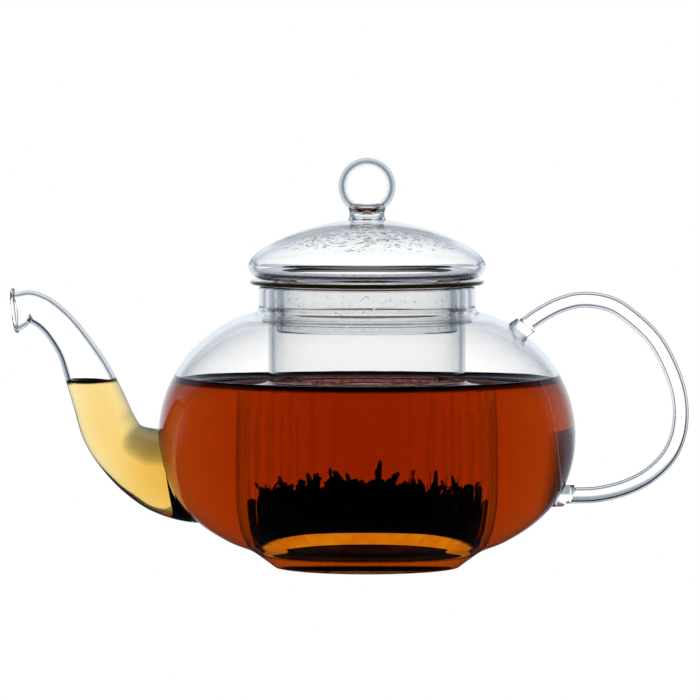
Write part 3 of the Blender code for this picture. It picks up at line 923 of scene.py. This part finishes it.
def stops(ramp, values):
    """Set a colour ramp's stops from (position, colour) pairs."""
    ramp.color_ramp.interpolation = "EASE"
    while len(ramp.color_ramp.elements) < len(values):
        ramp.color_ramp.elements.new(0.5)
    for element, (position, colour) in zip(ramp.color_ramp.elements, values):
        element.position = position
        element.color = (*colour, 1.0)


def across_ramp(tree, value, values):
    """A colour ramp read along one direction of the surround, from -1 to 1."""
    spread = tree.nodes.new("ShaderNodeMapRange")
    spread.inputs["From Min"].default_value = -1.0
    ramp = tree.nodes.new("ShaderNodeValToRGB")
    stops(ramp, values)
    connect(tree, value, spread.inputs["Value"])
    connect(tree, spread.outputs["Result"], ramp.inputs["Fac"])
    return ramp.outputs["Color"]


# What reflections see, from the dark room behind the eye to the backlight beyond the pot
SHINE = [(0.0, (0.004, 0.005, 0.006)), (0.70, (0.015, 0.018, 0.022)), (0.90, (0.22, 0.26, 0.32)),
         (1.0, (0.75, 0.78, 0.82))]


def make_world():
    """White surround with a tall dark flag on the spout's side, as seen through the glass."""
    world = bpy.data.worlds.new("studio")
    world.use_nodes = True
    tree = world.node_tree
    background = tree.nodes["Background"]
    place = tree.nodes.new("ShaderNodeTexCoord")
    parts = tree.nodes.new("ShaderNodeSeparateXYZ")
    connect(tree, place.outputs["Generated"], parts.inputs["Vector"])
    white = (1.0, 1.0, 1.0)
    flag = (0.16, 0.20, 0.25)
    across = across_ramp(tree, parts.outputs["X"], [
        (0.0, (0.80, 0.82, 0.84)), (0.015, (0.70, 0.73, 0.76)), (0.045, flag),
        (0.13, flag), (0.22, white), (1.0, white)])
    height = across_ramp(tree, parts.outputs["Z"], [
        (0.0, (0.55, 0.58, 0.62)), (0.25, white), (0.74, white), (0.93, (0.45, 0.48, 0.53))])
    seen = tree.nodes.new("ShaderNodeMix")
    seen.data_type = "RGBA"
    seen.blend_type = "MULTIPLY"
    seen.inputs["Factor"].default_value = 1.0
    connect(tree, across, seen.inputs[6])
    connect(tree, height, seen.inputs[7])
    shine = across_ramp(tree, parts.outputs["Y"], SHINE)
    colour = ray_mix(tree, [("Is Transmission Ray", seen.outputs[2]), ("Glossy Depth", shine),
                            ("Diffuse Depth", DIM)], EYE)
    background.inputs["Strength"].default_value = BACKLIGHT
    connect(tree, colour, background.inputs["Color"])
    bpy.context.scene.world = world


def make_floor():
    """Pale round table: white to the eye, with painted shade under the pot that only rays through the glass
    see.
    """
    radius = 1.0
    turns = np.linspace(0, 2 * math.pi, 96, endpoint=False)
    rim = np.column_stack([radius * np.cos(turns), radius * np.sin(turns), np.full(96, BASE_Z - 0.0002)])
    mesh = bpy.data.meshes.new("table_top")
    mesh.from_pydata(rim.tolist(), [], [list(range(96))])
    floor = bpy.data.objects.new("table_top", mesh)
    bpy.context.collection.objects.link(floor)
    material = bpy.data.materials.new("pale_table")
    material.use_nodes = True
    tree = material.node_tree
    tree.nodes.remove(tree.nodes["Principled BSDF"])
    glow = tree.nodes.new("ShaderNodeEmission")
    place = tree.nodes.new("ShaderNodeTexCoord")
    away = tree.nodes.new("ShaderNodeVectorMath")
    away.operation = "LENGTH"
    fade = tree.nodes.new("ShaderNodeMapRange")
    fade.inputs["From Min"].default_value = 0.10
    fade.inputs["From Max"].default_value = 0.30
    # Painted shade: grey-blue within 0.1 m of the pot's middle, fading to white at 0.3 m, seen only through
    # the glass.
    shade = tree.nodes.new("ShaderNodeValToRGB")
    stops(shade, [(0.0, (0.30, 0.33, 0.38)), (1.0, (1.0, 1.0, 1.0))])
    connect(tree, place.outputs["Object"], away.inputs[0])
    connect(tree, away.outputs["Value"], fade.inputs["Value"])
    connect(tree, fade.outputs["Result"], shade.inputs["Fac"])
    heading = tree.nodes.new("ShaderNodeVectorMath")
    heading.operation = "NORMALIZE"
    parts = tree.nodes.new("ShaderNodeSeparateXYZ")
    connect(tree, place.outputs["Object"], heading.inputs[0])
    connect(tree, heading.outputs["Vector"], parts.inputs["Vector"])
    shine = across_ramp(tree, parts.outputs["Y"], SHINE)
    colour = ray_mix(tree, [("Is Transmission Ray", shade.outputs["Color"]), ("Glossy Depth", shine),
                            ("Diffuse Depth", DIM)], EYE)
    glow.inputs["Strength"].default_value = BACKLIGHT
    connect(tree, colour, glow.inputs["Color"])
    connect(tree, glow.outputs["Emission"], tree.nodes["Material Output"].inputs["Surface"])
    mesh.materials.append(material)


def add_light(name, place, target, size, power):
    """A soft rectangular lamp that the eye and the glass's depth don't see, only its reflections."""
    data = bpy.data.lights.new(name, "AREA")
    data.shape = "RECTANGLE"
    data.size, data.size_y = size
    data.energy = power
    lamp = bpy.data.objects.new(name, data)
    lamp.location = place
    lamp.rotation_euler = (Vector(target) - Vector(place)).to_track_quat("-Z", "Y").to_euler()
    lamp.visible_camera = False
    lamp.visible_transmission = False
    bpy.context.collection.objects.link(lamp)


def make_camera():
    """A long lens a little above the pot, looking along +Y."""
    data = bpy.data.cameras.new("camera")
    data.sensor_width = 36.0
    data.lens = 311.6
    data.clip_start = 0.05
    camera = bpy.data.objects.new("camera", data)
    camera.location = (-0.0057, -2.03, 0.18)
    aim = Vector((-0.0057, 0.0, 0.0728)) - camera.location
    camera.rotation_euler = aim.to_track_quat("-Z", "Y").to_euler()
    bpy.context.collection.objects.link(camera)
    bpy.context.scene.camera = camera


def make_studio():
    """Camera, surround, table and lamps, and enough light bounces for glass inside glass."""
    scene = bpy.context.scene
    scene.view_settings.view_transform = "Standard"
    scene.cycles.max_bounces = 40
    scene.cycles.transmission_bounces = 40
    scene.cycles.glossy_bounces = 12
    make_camera()
    make_world()
    make_floor()
    add_light("top_box", (0.0, 0.35, 1.4), (0, 0, 0.05), (1.2, 0.8), 1.5)


# --- assembly -------------------------------------------------------------------------------
def make_pot(materials):
    """Bowl, spout, handle and welds, all on the pot's body."""
    dry, wet, rod_glass, spout_glass = materials
    bowl = make_bowl()
    carve(bowl, bore_bar("spout_bore", 0.0, WET))
    spout = make_spout()
    carve(spout, bowl_block("bowl_face", FUSE))
    dry_above(spout, TEA_LEVEL + SPOUT_RISE)
    rod, welds = make_handle()
    finish(bowl, "pot", [dry, wet], BOWL_NODES)
    finish(spout, "pot", [spout_glass, wet], ["spout"])
    finish(rod, "pot", [rod_glass], ["handle_rod"])
    finish(welds[0], "pot", [rod_glass], ["handle_upper_weld"])
    finish(welds[1], "pot", [rod_glass], ["handle_lower_weld"])


def make_everything():
    """Every piece with its materials and body."""
    blown = blown_surface()
    # The edge colours given below are painted shade: each glass turns toward them where it is seen edge on.
    bowl_glass = glass("bowl_glass", blown)
    wet_glass = glass("bowl_glass_under_tea", blown, ior=1.105, edge=(0.80, 0.80, 0.80))
    rod_glass = glass("rod_glass", blown, edge=(0.30, 0.38, 0.44), edge_shade_from=0.50, edge_shade_to=0.95,
                      wave=60.0, depth=0.00006)
    spout_glass = glass("spout_glass", blown, edge=(0.36, 0.43, 0.49), edge_shade_from=0.48)
    tube_glass = glass("infuser_glass", blown, wave=30.0, depth=0.00006)
    tube_wet = glass("infuser_glass_under_tea", blown, ior=1.07, edge=(0.88, 0.88, 0.88), depth=0.00003)
    # Painted shade: the slot faces are tinted grey so that they show as faint dark lines.
    slot_glass = glass("infuser_slot_faces", blown, ior=1.0, clear=(0.90, 0.90, 0.90),
                       edge=(0.86, 0.86, 0.86))
    lid_glass = glass("lid_glass", blown, wave=34.0)
    knob_glass = glass("knob_glass", blown, edge=(0.34, 0.42, 0.46), edge_shade_from=0.36,
                       edge_shade_to=0.85, wave=60.0, depth=0.00006)
    # Painted shade: the glass flange is drawn opaque and near black.
    flange = plain_material("flange_painted_shade", 60.0, (0.010, 0.006, 0.001), (0.030, 0.019, 0.004), 0.10, 0.00002,
                            coat=0.4)
    leaf = plain_material("soaked_leaf", 420.0, (0.0003, 0.0002, 0.0001), (0.002, 0.0011, 0.0005),
                          0.6, 0.0002)
    leaf.node_tree.nodes["Principled BSDF"].inputs["Specular IOR Level"].default_value = 0.1
    water = glass("condensation", blown, ior=1.33, edge=(0.55, 0.58, 0.60), depth=0.00001)

    make_pot((bowl_glass, wet_glass, rod_glass, spout_glass))
    tube, rim = make_infuser()
    finish(tube, "infuser", [tube_glass, tube_wet, slot_glass], ["infuser_tube"])
    finish(rim, "infuser", [flange], ["infuser_rim"])
    dome, skirt = make_lid()
    finish(dome, "lid", [lid_glass], ["lid_dome"])
    finish(skirt, "lid", [lid_glass], ["lid_skirt"])
    ball, stem = make_knob()
    finish(ball, "lid", [knob_glass], ["knob_ball"])
    finish(stem, "lid", [knob_glass], ["knob_stem"])

    tea = make_tea()
    finish(tea, "pot", [tea_material("tea_surface", 1.33),
                                      tea_material("tea_against_glass", 1.0)])
    finish(make_painted_glow_corner(), "infuser", [painted_glow_material()])
    finish(make_heap(), "infuser", [leaf], crease=180)
    finish(make_slivers(), "infuser", [leaf], crease=180)
    finish(dome_drops(), "lid", [water], crease=60)
    finish(wall_drops("tube_drops", 150, TUBE_R, 0.0835, 0.0925, 1, 21), "infuser", [water],
           crease=60)
    finish(wall_drops("skirt_drops", 90, SKIRT_R, SKIRT_LOW.z + 0.001, SKIRT_LOW.z + 0.003, 1, 8),
           "lid", [water], crease=60)
    finish(froth(), "pot", [water], crease=60)


make_studio()
make_everything()
